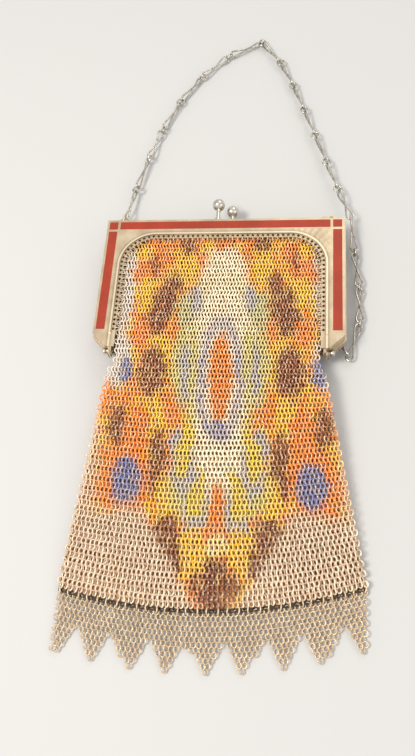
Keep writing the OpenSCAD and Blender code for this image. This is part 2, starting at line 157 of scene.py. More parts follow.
def seam_y(x):
    return SEAM_MID_Y + SEAM_SLOPE * x + SEAM_SAG * (2 * x / BAG_BOTTOM_W) ** 2


def sag_slope(x):
    """The slope that the sag gives to the seam."""
    return 8 * SEAM_SAG * x / BAG_BOTTOM_W**2


def fall_of(y):
    """0 at the hinge line and 1 at the seam."""
    return np.clip((HINGE_Y - y) / BAG_LEN, 0, 1)


def front_z(y):
    fall = fall_of(y)
    fall = EASED_SHARE * smooth(fall) + (1 - EASED_SHARE) * fall
    return mix(FRONT_LOW, FLOOR_Z + MESH_T + WALLS_APART, fall) + MESH_T / 2


def back_z(y):
    return mix(BACK_LOW, FLOOR_Z, smooth((HINGE_Y - y) / BACK_DROP)) + MESH_T / 2


print("front wall at the hinge and the seam:", front_z(np.array([HINGE_Y, SEAM_MID_Y])))


# %% [markdown]
# ## Two node trees
#
# The mesh is thousands of equal wire rings, and the chain is bent wire. Rings could be copied by an
# array, but an array can't turn each ring by itself. A node tree can: it puts a ring on every point
# of a lattice and reads that point's own turn. The two trees share a list of named inputs, the round
# wire, and an end that makes the copies real, because the export drops what is only an instance.

# %% What both trees share
def new_tree(name, inputs):
    tree = bpy.data.node_groups.new(name, "GeometryNodeTree")
    socket = tree.interface.new_socket
    socket("Geometry", in_out="INPUT", socket_type="NodeSocketGeometry")
    for label, kind in inputs:
        socket(label, in_out="INPUT", socket_type="NodeSocket" + kind)
    socket("Geometry", in_out="OUTPUT", socket_type="NodeSocketGeometry")
    return tree, tree.nodes.new("NodeGroupInput"), tree.nodes.new("NodeGroupOutput")


def wire_along(tree, given, line):
    """Round wire along a curve, shaded smooth."""
    wire = tree.nodes.new("GeometryNodeCurvePrimitiveCircle")
    tube = tree.nodes.new("GeometryNodeCurveToMesh")
    soft = tree.nodes.new("GeometryNodeSetShadeSmooth")
    tree.links.new(given.outputs["Wire Steps"], wire.inputs["Resolution"])
    tree.links.new(given.outputs["Wire Radius"], wire.inputs["Radius"])
    tree.links.new(line, tube.inputs["Curve"])
    tree.links.new(wire.outputs["Curve"], tube.inputs["Profile Curve"])
    tree.links.new(tube.outputs["Mesh"], soft.inputs["Geometry"])
    return soft.outputs["Geometry"]


def real_and_coated(tree, given, made, geometry):
    real = tree.nodes.new("GeometryNodeRealizeInstances")
    coat = tree.nodes.new("GeometryNodeSetMaterial")
    tree.links.new(geometry, real.inputs["Geometry"])
    tree.links.new(real.outputs["Geometry"], coat.inputs["Geometry"])
    tree.links.new(given.outputs["Material"], coat.inputs["Material"])
    tree.links.new(coat.outputs["Geometry"], made.inputs["Geometry"])


print("both trees start with inputs and end in a material")


# %% [markdown]
# Each ring of the mesh is a small circle of wire. The first tree makes one, puts it on every point of
# a lattice, turns it by the point's `turn` attribute and presses it a little oval by `Shape`. A
# modelled ring with duplicates would do too, but here one input changes the wire of all of them.

# %% Node tree: rings on a lattice
def ring_tree():
    tree, given, made = new_tree("rings_on_lattice", [
        ("Ring Radius", "Float"), ("Wire Radius", "Float"), ("Ring Steps", "Int"),
        ("Wire Steps", "Int"), ("Shape", "Vector"), ("Material", "Material"),
    ])
    link = tree.links.new
    ring = tree.nodes.new("GeometryNodeCurvePrimitiveCircle")
    turn = tree.nodes.new("GeometryNodeInputNamedAttribute")
    turn.data_type = "FLOAT_VECTOR"
    turn.inputs["Name"].default_value = "turn"
    spin = tree.nodes.new("FunctionNodeEulerToRotation")
    place = tree.nodes.new("GeometryNodeInstanceOnPoints")
    link(given.outputs["Ring Steps"], ring.inputs["Resolution"])
    link(given.outputs["Ring Radius"], ring.inputs["Radius"])
    link(given.outputs["Geometry"], place.inputs["Points"])
    link(wire_along(tree, given, ring.outputs["Curve"]), place.inputs["Instance"])
    link(turn.outputs["Attribute"], spin.inputs["Euler"])
    link(spin.outputs["Rotation"], place.inputs["Rotation"])
    link(given.outputs["Shape"], place.inputs["Scale"])
    real_and_coated(tree, given, made, place.outputs["Instances"])
    return tree


RINGS = ring_tree()
print("tree", RINGS.name, "has", len(RINGS.nodes), "nodes")


# %% [markdown]
# A chain link is a closed loop of thicker wire. A bevelled curve would give the same round wire, but
# it would still have to be turned into a mesh. The second tree takes the loop as plain edges and ends
# in a mesh with its material, as the first one does.

# %% Node tree: wire along a loop
def wire_tree():
    tree, given, made = new_tree("wire_on_loop", [
        ("Wire Radius", "Float"), ("Wire Steps", "Int"), ("Material", "Material"),
    ])
    curve = tree.nodes.new("GeometryNodeMeshToCurve")
    tree.links.new(given.outputs["Geometry"], curve.inputs["Mesh"])
    wire = wire_along(tree, given, curve.outputs["Curve"])
    real_and_coated(tree, given, made, wire)
    return tree


WIRES = wire_tree()
print("tree", WIRES.name, "has", len(WIRES.nodes), "nodes")


# %% [markdown]
# `grow` makes an object from points, runs a tree on it, and keeps the mesh that comes out. The
# modifier could stay on the object, but a plain mesh is what moves with a body. A tree's input is
# set by its socket's identifier, because names can occur twice.

# %% Run a tree and keep its mesh
def grow(name, tree, points, edges, attributes, values):
    mesh = bpy.data.meshes.new(name)
    mesh.from_pydata([tuple(p) for p in np.asarray(points) * MM], edges, [])
    for label, data in attributes.items():
        layer = mesh.attributes.new(label, "FLOAT_VECTOR", "POINT")
        layer.data.foreach_set("vector", np.asarray(data, np.float32).ravel())
    obj = bpy.data.objects.new(name, mesh)
    bpy.context.scene.collection.objects.link(obj)
    modifier = obj.modifiers.new("grow", "NODES")
    modifier.node_group = tree
    for item in tree.interface.items_tree:
        if item.in_out == "INPUT" and item.name in values:
            modifier[item.identifier] = values[item.name]
    obj.update_tag()
    bpy.context.view_layer.update()
    grown = obj.evaluated_get(bpy.context.evaluated_depsgraph_get())
    done = bpy.data.meshes.new_from_object(grown)
    obj.modifiers.clear()
    obj.data = done
    bpy.data.meshes.remove(mesh)
    done.name = name
    return obj


def triangles(obj):
    return sum(len(face.vertices) - 2 for face in obj.data.polygons)


print("grow is ready")


# %% [markdown]
# ## Material arithmetic
#
# Worn plating, enamel and dye all come from short formulas on a place. Written node by node they
# would fill pages. So a `Number` stands for a value inside a material. Arithmetic on it adds the math
# nodes that work it out, and a formula reads as one. Its `other` method adds any other kind of node.

# %% Numbers in materials
class Number:
    """A value inside a material's node tree."""

    def __init__(self, tree, socket):
        self.tree = tree
        self.socket = socket

    def plug(self, value, socket):
        if isinstance(value, Number):
            self.tree.links.new(value.socket, socket)
        else:
            socket.default_value = value

    def other(self, kind, inputs, output=0, **settings):
        node = self.tree.nodes.new(kind)
        for label, value in settings.items():
            setattr(node, label, value)
        for place, value in inputs.items():
            self.plug(value, node.inputs[place])
        return Number(self.tree, node.outputs[output])

    def math(self, operation, *values):
        return self.other("ShaderNodeMath", dict(enumerate(values)), operation=operation)

    def __add__(self, value):
        return self.math("ADD", self, value)

    def __radd__(self, value):
        return self.math("ADD", value, self)

    def __sub__(self, value):
        return self.math("SUBTRACT", self, value)

    def __rsub__(self, value):
        return self.math("SUBTRACT", value, self)

    def __mul__(self, value):
        return self.math("MULTIPLY", self, value)

    def __rmul__(self, value):
        return self.math("MULTIPLY", value, self)

    def __abs__(self):
        return self.math("ABSOLUTE", self)


print("a Number adds nodes as it is used")


# %% [markdown]
# Every finish below needs the same few things: a colour, a place on the piece, a noise, a ramp from
# one value to another and a mix of two colours. Each could be added where it is used. As helpers with
# short names they keep the finishes readable.

# %% Helpers for materials
def new_material(name, **constants):
    material = bpy.data.materials.new(name)
    material.use_nodes = True
    tree = material.node_tree
    shader = tree.nodes["Principled BSDF"]
    for label, value in constants.items():
        shader.inputs[label.replace("_", " ")].default_value = value
    return material, shader, Number(tree, shader.outputs[0])


def linear(red, green, blue):
    """A colour as it looks on screen, 0 to 255, turned into the linear values of a material."""
    parts = [c / 255 for c in (red, green, blue)]
    parts = [c / 12.92 if c <= 0.04045 else ((c + 0.055) / 1.055) ** 2.4 for c in parts]
    return tuple(parts) + (1.0,)


def parts_of(vector):
    return [vector.other("ShaderNodeSeparateXYZ", {0: vector}, k) for k in range(3)]


def place_mm(start):
    """The object's own coordinates, in millimetres."""
    spot = start.other("ShaderNodeTexCoord", {}, "Object")
    scale = {0: spot, "Scale": 1 / MM}
    return spot.other("ShaderNodeVectorMath", scale, operation="SCALE")


def noise(vector, scale, detail=2.0, output=0):
    values = {"Vector": vector, "Scale": scale, "Detail": detail}
    return vector.other("ShaderNodeTexNoise", values, output)


def ramp(value, low, high, first=0.0, last=1.0):
    return value.other("ShaderNodeMapRange", {0: value, 1: low, 2: high, 3: first, 4: last})


def tint(share, first, second):
    return share.other("ShaderNodeMix", {0: share, 6: first, 7: second}, 2, data_type="RGBA")


def wear_coat(name, material):
    nodes[name].data.materials.clear()
    nodes[name].data.materials.append(material)


print("white is", linear(255, 255, 255))

# %% [markdown]
# ## Frame metal
#
# The frame is stamped sheet with worn pale plating. A bead runs round its window, with a painted
# highlight along it and painted shade on both sides. A fan of fine lines is engraved in each upper
# corner, between the bead and the enamel. A painted map of them would need an unwrapped surface. Here
# the distance from the window's edge says where the bead is, and the lines, too fine to model, are a
# bump.

# %% Distance from the window
BEAD_IN = 2.1
BEAD_W = 1.1
BEAD_MID = BEAD_IN + BEAD_W / 2


def from_window(start, x, y):
    """Offsets from the middle of the window's corner, and the distance outside the window's edge."""
    across = abs(x) - (WINDOW_X - WINDOW_R)
    along = y - (WINDOW_TOP - WINDOW_R)
    corner = {0: start.math("MAXIMUM", across, 0.0), 1: start.math("MAXIMUM", along, 0.0)}
    corner = start.other("ShaderNodeCombineXYZ", corner)
    far = start.other("ShaderNodeVectorMath", {0: corner}, "Value", operation="LENGTH")
    return across, along, far - WINDOW_R


print("middle of the bead is", BEAD_MID, "mm outside the window")

# %% Engraved fan
ENAMEL_IN = 6.5
FAN_LINES = 44.0
FAN_SOFT = 0.4
FAN_STRENGTH = 0.15
FAN_DEPTH = 0.0002


def engraved_fan(start, x, y, across, along, edge):
    """A bump of fine rays in the upper corners."""
    rays = start.math("SINE", start.math("ARCTAN2", along, across) * FAN_LINES)
    side = FRAME_W / 2 - ENAMEL_IN - FAN_SOFT
    top = TOP_Y - ENAMEL_IN + FAN_SOFT
    zone = ramp(edge, BEAD_MID + BEAD_W, BEAD_MID + BEAD_W + FAN_SOFT)
    zone = zone * ramp(across, 0.0, 1.0) * ramp(along, 0.0, 1.0)
    zone = zone * ramp(abs(x), side, side - FAN_SOFT)
    zone = zone * ramp(y, top + FAN_SOFT, top)
    cut = {"Height": rays * zone, "Strength": FAN_STRENGTH, "Distance": FAN_DEPTH}
    return start.other("ShaderNodeBump", cut)


print("fan of", FAN_LINES / 4, "lines in each corner")

# %% Worn plating
DULL_PLATING = linear(190, 172, 146)
PALE_PLATING = linear(216, 200, 174)
# The next colours and sizes paint light round the bead: painted shade on both sides of it, and a
# painted highlight on it.
PAINTED_BEAD_SHADE = linear(112, 92, 68)
PAINTED_BEAD_HIGHLIGHT = linear(240, 226, 198)
BEAD_SHADE_SHARE = 0.5
BEAD_SHADE_REACH = 1.2


def frame_metal():
    material, shader, start = new_material("frame_metal", Metallic=0.75)
    spot = place_mm(start)
    x, y = parts_of(spot)[:2]
    across, along, edge = from_window(start, x, y)
    off_bead = abs(edge - BEAD_MID)
    # The bead's lighter colour is a painted highlight and the band beside it is painted shade; the
    # bead is also less rough.
    bead = ramp(off_bead, BEAD_W / 2, BEAD_W / 2 - 0.3)
    bead_shade = ramp(off_bead, BEAD_W / 2 + BEAD_SHADE_REACH, BEAD_W / 2 - 0.1) * (1.0 - bead)
    wear = ramp(noise(spot, 0.12, 4.0) * 0.7 + noise(spot, 2.5) * 0.3, 0.35, 0.65)
    colour = tint(wear, DULL_PLATING, PALE_PLATING)
    colour = tint(bead_shade * BEAD_SHADE_SHARE, colour, PAINTED_BEAD_SHADE)
    start.plug(tint(bead, colour, PAINTED_BEAD_HIGHLIGHT), shader.inputs["Base Color"])
    start.plug(ramp(wear - bead * 0.4, -0.4, 1.0, 0.25, 0.42), shader.inputs["Roughness"])
    fan = engraved_fan(start, x, y, across, along, edge)
    start.plug(fan, shader.inputs["Normal"])
    return material


FRAME_METAL = frame_metal()
for name in ("front_frame", "back_frame", "left_lug", "right_lug"):
    wear_coat(name, FRAME_METAL)
print("frame metal has", len(FRAME_METAL.node_tree.nodes), "nodes")

# %% [markdown]
# ## Enamel
#
# Red enamel fills the sunk bands and corner squares of the frame. One flat red would look like
# plastic. So two close reds are mixed by a slow noise, a finer noise changes the roughness, and a
# thin clear coat keeps a little shine.

# %% Enamel
DEEP_RED = linear(140, 36, 10)
WARM_RED = linear(158, 46, 14)


def enamel():
    material, shader, start = new_material("red_enamel", Coat_Weight=0.1, Coat_Roughness=0.25)
    spot = place_mm(start)
    grain = noise(spot, 1.6)
    uneven = ramp(noise(spot, 0.09, 3.0) * 0.6 + grain * 0.4, 0.36, 0.64)
    start.plug(tint(uneven, DEEP_RED, WARM_RED), shader.inputs["Base Color"])
    start.plug(ramp(grain, 0.3, 0.7, 0.4, 0.55), shader.inputs["Roughness"])
    return material


ENAMEL = enamel()
for name in ("front_enamel", "back_enamel"):
    wear_coat(name, ENAMEL)
print("enamel has", len(ENAMEL.node_tree.nodes), "nodes")


# %% [markdown]
# ## Bare metals
#
# The chain is grey wire, the knobs and hinge pins are polished, and the rings at the chain's ends are
# yellower. They differ only in two shades and in polish, so one function with three sets of values
# does for all, in place of three materials built by hand.

# %% Chain, clasp and end rings
def plain_metal(name, dark, light, rough):
    material, shader, start = new_material(name, Metallic=1.0)
    wear = ramp(noise(place_mm(start), 0.5, 3.0), 0.35, 0.65)
    start.plug(tint(wear, dark, light), shader.inputs["Base Color"])
    start.plug(ramp(wear, 0.0, 1.0, rough + 0.12, rough), shader.inputs["Roughness"])
    return material


CHAIN_METAL = plain_metal("chain_metal", linear(158, 154, 146), linear(214, 210, 202), 0.2)
CLASP_METAL = plain_metal("clasp_metal", linear(190, 186, 178), linear(226, 222, 214), 0.16)
RING_METAL = plain_metal("end_ring_metal", linear(206, 188, 150), linear(236, 222, 188), 0.2)
for name in ("front_knob", "back_knob", "left_hinge_pin", "right_hinge_pin"):
    wear_coat(name, CLASP_METAL)
for name in ("left_end_ring", "right_end_ring"):
    wear_coat(name, RING_METAL)
print("three plain metals are on")

# %% [markdown]
# ## The print
#
# The rings carry soft fields of dye, the same to left and right of the bag's middle. A picture laid
# over the mesh would paint parts of one ring in two colours. Here each ring takes one colour from its
# own place, moved a little at random, so the edges of the fields break up from ring to ring. A field
# is an oval: its dye, distance from the middle, height, half width and half height.

# %% Dyes
ORANGE = linear(255, 146, 24)
FLAME = linear(255, 146, 18)
YELLOW = linear(255, 208, 30)
LEMON = linear(240, 214, 56)
SAND = linear(250, 228, 160)
BROWN = linear(130, 52, 16)
BLUE = linear(118, 130, 186)
LILAC = linear(160, 164, 200)
STEEL = linear(188, 190, 200)
MOSS = linear(208, 206, 152)
GREEN = linear(222, 214, 132)
PEARL = linear(228, 224, 218)
CREAM = linear(255, 244, 216)
print("thirteen dyes, brown is", BROWN)

# %% Fields at the sides
UPPER_FIELDS = [
    (PEARL, 50, -28, 8.5, 32), (ORANGE, 34, -13, 7, 7), (YELLOW, 37.5, -11, 4, 4),
    (BROWN, 33, -20, 2, 7), (ORANGE, 38, -24, 5, 6), (YELLOW, 36, -33, 5.5, 7.5),
    (ORANGE, 12.5, -17, 2.5, 7), (YELLOW, 18, -19.5, 5.5, 9.5), (BROWN, 17.6, -8, 4, 4),
    (BROWN, 24, -29, 4, 6.5), (BROWN, 27.5, -40, 6.2, 9.5), (BROWN, 31, -49, 5.5, 6.5),
    (ORANGE, 37, -54, 4.5, 6.5), (ORANGE, 22, -57.5, 4.5, 6), (YELLOW, 27, -61, 4.5, 5),
    (PEARL, 47, -68, 6, 13), (BLUE, 42.5, -72.5, 2.8, 6), (BROWN, 30.5, -73, 6.5, 11.5),
]
LOWER_FIELDS = [
    (ORANGE, 50, -86, 4, 7), (ORANGE, 21.5, -89.5, 5, 7), (YELLOW, 28.5, -90, 4, 7),
    (BROWN, 44.5, -98, 4.5, 9), (ORANGE, 35.5, -100, 5.5, 11), (YELLOW, 27, -98, 3.5, 8),
    (ORANGE, 40, -121, 11, 14), (BROWN, 26.5, -114, 3.8, 14.5), (BLUE, 39.5, -121.5, 6.8, 9.6),
    (YELLOW, 22, -129, 5, 10),
]
print("fields at the sides:", len(UPPER_FIELDS) + len(LOWER_FIELDS))

# %% Fields along the middle
CROWN_FIELDS = [
    (CREAM, 0, -30, 11, 22), (ORANGE, 0.8, -7.5, 3, 4), (GREEN, 0, -66, 19.5, 38),
    (CREAM, 0, -63, 14.5, 37), (MOSS, 17, -43, 3.6, 10), (STEEL, 12.5, -37, 2.4, 8),
    (GREEN, 18, -70, 4, 16), (GREEN, 12, -68, 2.2, 16), (STEEL, 15.5, -74, 2, 14),
    (CREAM, 0, -105, 12, 19), (LILAC, 0, -76, 9.2, 28.5), (CREAM, 0, -75.5, 6.9, 24),
    (FLAME, 0, -75, 5.4, 15), (FLAME, 0, -60.5, 3, 7), (FLAME, 0, -89.5, 3, 6.5),
    (LILAC, 0, -101, 3.2, 6), (STEEL, 18.5, -105.5, 3.2, 6.5),
]
PETAL_FIELDS = [
    (GREEN, 0, -123, 21, 17), (CREAM, 0, -116, 12, 12), (STEEL, 15, -114, 5, 12),
    (LEMON, 13, -102, 2.2, 7), (LEMON, 15.5, -112.5, 3.2, 8.5), (STEEL, 8.8, -130, 5.2, 12),
    (LEMON, 6.8, -122, 2, 6.5), (LEMON, 9.4, -130, 3.2, 8.5), (ORANGE, 0, -131, 2.8, 9),
    (ORANGE, 0, -141, 5.2, 4), (STEEL, 11, -139.5, 2.6, 3.5), (YELLOW, 10.5, -150, 5.8, 9),
    (SAND, 0, -146.5, 4.2, 4.6), (BROWN, 21.5, -142, 5.8, 6.5), (BROWN, 19.5, -150, 4.8, 8),
    (BROWN, 17.3, -156.5, 3.6, 5.5), (BROWN, 0, -157.5, 5, 5), (BROWN, 0, -163, 10.5, 6),
    (BROWN, 0, -168.5, 7, 5),
]
FIELDS = UPPER_FIELDS + LOWER_FIELDS + CROWN_FIELDS + PETAL_FIELDS
print("fields in all:", len(FIELDS))

# %% [markdown]
# A bare ring is pale worn metal, and no two rings shine alike. A noise over the whole panel would
# stain it in patches. White noise on the ring's own place, which all of a ring shares, gives each
# ring one shade and one polish.

# %% Bare rings
BARE_METALLIC = 0.4


def bare_rings(name, dark, light):
    """A material of bare rings, with what the print needs to build on it."""
    material, shader, start = new_material(name, Metallic=BARE_METALLIC)
    spot = start.other("ShaderNodeAttribute", {}, "Vector", attribute_name="print_at")
    chance = parts_of(start.other("ShaderNodeTexWhiteNoise", {"Vector": spot}, "Color"))
    bare = tint(chance[2], dark, light)
    start.plug(bare, shader.inputs["Base Color"])
    start.plug(ramp(chance[0], 0.0, 1.0, 0.26, 0.4), shader.inputs["Roughness"])
    return material, shader, spot, chance, bare


PLAIN = bare_rings("plain_rings", linear(200, 176, 146), linear(228, 206, 176))[0]
print("plain rings have", len(PLAIN.node_tree.nodes), "nodes")

# %% [markdown]
# The dye is not quite where the design has it: it strays from ring to ring, and slowly over the
# bag. The middle of the design leans with the bag. The fields could be mixed by distance in one step,
# but laid over one another in order, as here, a later field covers an earlier one as dye does.

# %% Place and dye of a ring
PRINT_MID = 1.2
PRINT_LEAN = 0.0235
STRAY_X = 2.4
STRAY_Y = 3.2
DRIFT = 4.5
FIELD_OUT = 1.18
FIELD_IN = 0.88


def print_place(spot, chance):
    """Distance from the print's middle, height, and a slow change between the ground dyes."""
    drift = parts_of(noise(spot, 0.16, 2.0, "Color"))
    x, y = parts_of(spot)[:2]
    x = x + (chance[0] - 0.5) * STRAY_X + (drift[0] - 0.5) * DRIFT
    y = y + (chance[1] - 0.5) * STRAY_Y + (drift[1] - 0.5) * DRIFT
    return abs(x + y * PRINT_LEAN - PRINT_MID), y, drift[2]


def dye_at(side, y, change, chance):
    place = side.other("ShaderNodeCombineXYZ", {0: side, 1: y})
    colour = tint(ramp(change, 0.42, 0.58), YELLOW, ORANGE)
    for dye, out, high, half_w, half_h in FIELDS:
        scaled = {0: place, 1: (1 / half_w, 1 / half_h, 0), 2: (-out / half_w, -high / half_h, 0)}
        scaled = side.other("ShaderNodeVectorMath", scaled, operation="MULTIPLY_ADD")
        far = side.other("ShaderNodeVectorMath", {0: scaled}, "Value", operation="LENGTH")
        share = ramp(far, FIELD_OUT, FIELD_IN)
        if dye == BROWN:
            share = share * ramp(chance[2], 0.1, 0.4, 0.15, 1.0)
        colour = tint(share, colour, dye)
    return colour


print("the print's middle leans", round(PRINT_LEAN * BAG_LEN, 1), "mm from hinge to seam")

# %% [markdown]
# The print stops in a soft edge above the bottom of the bag, with a point in the middle that reaches
# the seam. Below that, and in the fringe, the rings are bare metal. A second material for the bare
# part would end in a hard line. One cover value fades the dye instead, and wears it thin in places.

# %% Printed rings
FOOT_Y = -133.0
FOOT_SOFT = 7.0
POINT_TOP_Y = -138.0
POINT_SLOPE = 0.62
POINT_W = 31.0
POINT_SOFT = 4.0
DYE_SHARE = 0.95


def cover_at(spot, side, y, chance):
    """How much of the dye is on a ring."""
    reach = ramp(y + side * 0.1, FOOT_Y, FOOT_Y + FOOT_SOFT) * ramp(side, 55.0, 49.0, 0.15, 1.0)
    point = ramp(side + (POINT_TOP_Y - y) * POINT_SLOPE, POINT_W, POINT_W - POINT_SOFT)
    laid = side.math("MAXIMUM", reach, point) * ramp(chance[2], 0.02, 0.3, 0.45, 1.0)
    return laid * ramp(noise(place_mm(spot), 0.9, 1.0), 0.5, 0.62, 1.0, 0.35)


def printed_rings(name, dark, light):
    material, shader, spot, chance, bare = bare_rings(name, dark, light)
    side, y, change = print_place(spot, chance)
    colour = dye_at(side, y, change, chance)
    laid = cover_at(spot, side, y, chance)
    spot.plug(tint(laid * DYE_SHARE, bare, colour), shader.inputs["Base Color"])
    spot.plug(ramp(laid, 0.0, 1.0, BARE_METALLIC, 0.05), shader.inputs["Metallic"])
    return material


PRINTED = printed_rings("printed_rings", linear(224, 198, 174), linear(248, 230, 208))
print("printed rings have", len(PRINTED.node_tree.nodes), "nodes")

# %% [markdown]
# ## Dark ground
#
# Between the rings one looks into the bag, which is in shadow. Real depth alone leaves the gaps too
# bright under soft light. So the solid back wall and the solid bottom seam stay under the rings as a
# darker, duller ground.

# %% Ground under the rings
INSIDE = new_material(
    "dark_inside", Base_Color=linear(160, 130, 100), Metallic=0.3, Roughness=0.7)[0]
SEAM = new_material(
    "dark_seam", Base_Color=linear(60, 48, 38), Metallic=0.3, Roughness=0.7)[0]
wear_coat("back_mesh", INSIDE)
wear_coat("bottom_seam", SEAM)
print("dark ground on two solids")

# %% [markdown]
# ## Ring mesh
#
# In the real mesh every ring hooks its neighbours. The rings lie in rows across the bag: all rings of
# a row lean one way, and the next row leans the other way. A bump on the solid wall would look flat
# at the edges, so each ring is real. Rows are level inside the frame and follow the curved seam lower
# down, and the columns spread as the bag widens.

# %% Columns and rows
COLUMNS = 62
ARCH_ROWS = 25
BODY_ROWS = 48
ALL_ROWS = ARCH_ROWS + BODY_ROWS


def in_window(x, y, inset):
    """True inside the frame's arch, this far from its edge."""
    half = WINDOW_X - inset
    corner_x = half - WINDOW_R
    corner_y = WINDOW_TOP - inset - WINDOW_R
    in_corner = (np.abs(x) > corner_x) & (y > corner_y)
    in_round = np.hypot(np.abs(x) - corner_x, y - corner_y) < WINDOW_R
    return (np.abs(x) < half) & (y < WINDOW_TOP - inset) & (~in_corner | in_round)


def lean_of(row, angle):
    return math.radians(angle if row % 2 else -angle)


def across(row):
    """Places of one row's rings from -1 to 1: every other row is half a ring to the side."""
    return (np.arange(COLUMNS) + (0.25 if row % 2 else 0.75)) / COLUMNS * 2 - 1


print("a panel has", COLUMNS, "columns and", ALL_ROWS, "rows")

# %% Lattice of one panel
RING_LEAN = 40
EDGE_INSET = 0.2
SIDE_INSET = 0.5
WAVE_H = 0.3
WAVE_ACROSS = 0.11
WAVE_DOWN = 0.13


def row_places(row):
    """Places of one row, and which of them are inside the bag."""
    side = across(row)
    if row < ARCH_ROWS:
        y = np.full(COLUMNS, mix(WINDOW_TOP, HINGE_Y, (row + 0.5) / ARCH_ROWS))
        x = side * (WINDOW_X - WINDOW_GAP)
        return x, y, in_window(x, y, EDGE_INSET)
    share = (row - ARCH_ROWS + 0.5) / BODY_ROWS
    y = np.full(COLUMNS, mix(HINGE_Y, SEAM_MID_Y, share))
    x = bag_mid(y) + side * (bag_half(y) - SIDE_INSET)
    return x, mix(HINGE_Y, seam_y(x), share), np.full(COLUMNS, True)


def panel_rows(first, last, height):
    points, turns = [], []
    for row in range(first, last):
        x, y, keep = row_places(row)
        fall = fall_of(y)
        z = height(y) + WAVE_H * fall * np.sin(x * WAVE_ACROSS + row * WAVE_DOWN)
        slope = np.arctan2(height(y + 0.5) - height(y - 0.5), 1.0)
        lean = np.full(COLUMNS, lean_of(row, RING_LEAN))
        tilt = np.arctan(fall * sag_slope(x))
        points.append(np.c_[x, y, z][keep])
        turns.append(np.c_[slope, lean, tilt][keep])
    return np.concatenate(points), np.concatenate(turns)


print("the first row keeps", row_places(0)[2].sum(), "rings")

# %% [markdown]
# Joined rings never lie quite alike, and a perfect lattice looks like a printed pattern. So
# `mail` moves and turns each ring by a little chance, from one fixed seed, before it grows them. A
# noise inside the tree would do too, but then the print could not know where each ring went.

# %% Rings on a lattice
RING_D = 3.2
RING_WIRE = 0.8
PLACE_CHANCE = 0.09
TURN_CHANCE = 0.1
FINE = (12, 4)
COARSE = (8, 3)
CHANCE = np.random.default_rng(7)


def mail(name, points, turns, material, steps, shape, ring=RING_D, wire=RING_WIRE):
    points = points + CHANCE.normal(0, PLACE_CHANCE, points.shape)
    turns = turns + CHANCE.normal(0, TURN_CHANCE, turns.shape)
    values = {
        "Ring Radius": (ring - wire) / 2 * MM, "Wire Radius": wire / 2 * MM,
        "Ring Steps": steps[0], "Wire Steps": steps[1], "Shape": shape, "Material": material,
    }
    obj = grow(name, RINGS, points, [], {"turn": turns, "print_at": points}, values)
    print(name, "has", len(points), "rings and", triangles(obj), "triangles")
    return obj


print("a ring is", RING_D, "mm across, of wire", RING_WIRE, "mm thick")

# %% [markdown]
# ## Front panel
#
# The front panel hangs from the front half of the frame and is closed into a pouch below the hinges.
# When the frame opens, the rings above the hinge line go with it, and those below stay. Here the
# lower piece goes with the back half of the frame, and the two upper pieces are attached to no body.
# In three pieces, each stays well under 200,000 triangles.

# %% Front panel
PANEL_SHAPE = (0.85, 1.0, 1.0)
MIDDLE_END = 49
FRONT_PIECES = (
    ("upper", 0, ARCH_ROWS), ("middle", ARCH_ROWS, MIDDLE_END), ("lower", MIDDLE_END, ALL_ROWS))
for name, first, last in FRONT_PIECES:
    points, turns = panel_rows(first, last, front_z)
    piece = mail("front_mail_" + name, points, turns, PRINTED, FINE, PANEL_SHAPE)
    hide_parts("front_mesh")
    if name == "lower":
        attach(piece, "back")
    else:
        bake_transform(piece)

# %% [markdown]
# ## Back panel
#
# The back panel is the same mesh on the back half of the frame. It is seen only through the open
# mouth and from behind, so its rings have fewer faces. They stand a little out of the solid wall,
# which stays as their ground.

# %% Back panel
BACK_LIFT = 0.6
BACK_SPLIT = 37


def back_ring_z(y):
    return back_z(y) + BACK_LIFT


for name, first, last in (("upper", 0, BACK_SPLIT), ("lower", BACK_SPLIT, ALL_ROWS)):
    points, turns = panel_rows(first, last, back_ring_z)
    piece = mail("back_mail_" + name, points, turns, PRINTED, COARSE, PANEL_SHAPE)
    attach(piece, "back")

# %% [markdown]
# ## Joining rings at the frame
#
# A row of thin rings joins each panel to the holes round its frame half. They could be spread along a
# curve with a tree, but they have to meet the holes, so their places are counted along the window's
# edge just as the holes were: up a leg, round a corner and along the top, the same on both sides.

# %% Places of the holes
HOLE_IN = 1.1
HOLE_PITCH = 2.4
HOLES_LOW = CORNER_Y + 1


def hole_places(out):
    """Places in line with the holes, this far outside the window's edge, and the edge's direction."""
    leg = WINDOW_TOP - WINDOW_R - HOLES_LOW
    arc = math.pi * (WINDOW_R + HOLE_IN) / 2
    top = 2 * (WINDOW_X - WINDOW_R)
    run = 2 * leg + 2 * arc + top
    count = math.floor(run / HOLE_PITCH) + 1
    cx, cy, r = WINDOW_X - WINDOW_R, WINDOW_TOP - WINDOW_R, WINDOW_R + out
    places = []
    for k in range(count):
        s = (k + 0.5) * run / count
        side = -1 if s < run / 2 else 1
        s = min(s, run - s)
        if s < leg:
            x, y, angle = WINDOW_X + out, HOLES_LOW + s, 0.0
        elif s < leg + arc:
            angle = (s - leg) / arc * math.pi / 2
            x, y = cx + r * math.cos(angle), cy + r * math.sin(angle)
        else:
            x, y, angle = cx - (s - leg - arc), WINDOW_TOP + out, math.pi / 2
        places.append((side * x, y, side * angle))
    return np.array(places)


EDGE_OUT = -0.5
edge = hole_places(EDGE_OUT)
print("holes round the window:", len(edge))

